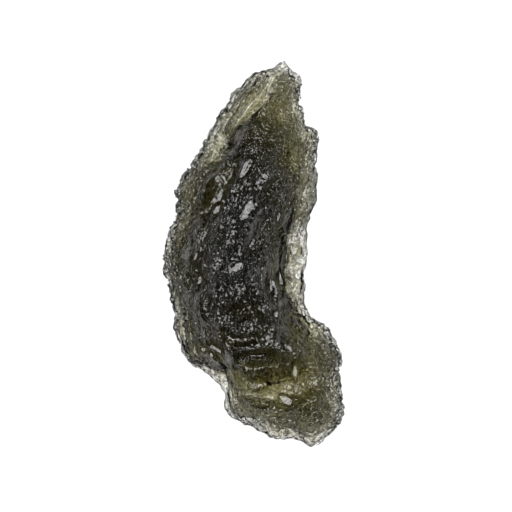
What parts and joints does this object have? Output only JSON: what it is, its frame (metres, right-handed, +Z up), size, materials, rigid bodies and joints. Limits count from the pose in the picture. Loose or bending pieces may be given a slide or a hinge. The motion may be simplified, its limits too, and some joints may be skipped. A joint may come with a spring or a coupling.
{
  "type": "moldavite",
  "caption": "Natural moldavite: one curved, pointed splinter of olive green glass with deeply fluted and pitted faces, thin clear edges and a broad foot.",
  "frame": {"origin": "middle of the bounding box's base, on the plane that the stone rests on", "axes": "+Y towards the pointed tip, along the stone's length; +Z up, out of the higher side; +X across it, towards the thin side of the body"},
  "size_m": [0.0184, 0.0388, 0.0095],
  "materials": {
    "moldavite_glass": "see-through olive green natural glass, almost black where it is thick, with a naturally etched, satin to glossy surface"
  },
  "bodies": {
    "root": {"moldavite": "moldavite_glass"}
  },
  "joints": []
}
